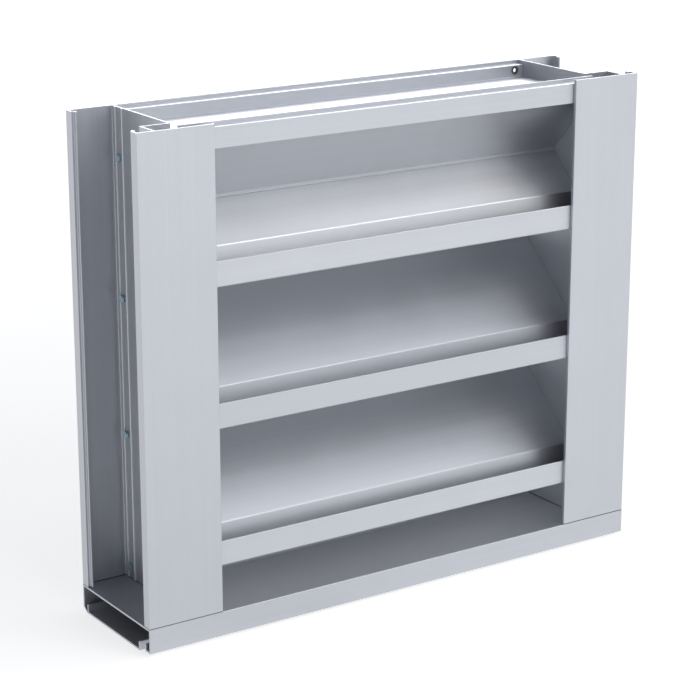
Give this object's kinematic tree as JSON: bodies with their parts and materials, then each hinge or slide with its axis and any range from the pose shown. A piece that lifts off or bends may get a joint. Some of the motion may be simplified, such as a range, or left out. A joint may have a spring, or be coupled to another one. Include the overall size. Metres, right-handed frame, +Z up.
{
  "type": "storm louver",
  "caption": "Fixed aluminium storm louver: inclined gutter blades between drain-pocket jambs, with an open head channel and a hollow sill.",
  "frame": {"origin": "under the middle of the sill's base", "axes": "+Z up, the weather side faces -Y, +X to the right seen from the weather side"},
  "size_m": [0.636, 0.15, 0.552],
  "materials": {
    "aluminium": "satin, with faint lines along the extrusion",
    "zinc": "bright blue zinc plating"
  },
  "bodies": {
    "root": {"sill": "aluminium", "left_jamb": "aluminium", "right_jamb": "aluminium", "head": "aluminium", "head_baffle": "aluminium", "lower_blade": "aluminium", "middle_blade": "aluminium", "upper_blade": "aluminium", "sill_screws": "zinc", "head_screws": "zinc", "baffle_screws": "zinc", "lower_blade_screws": "zinc", "middle_blade_screws": "zinc", "upper_blade_screws": "zinc"}
  },
  "joints": []
}
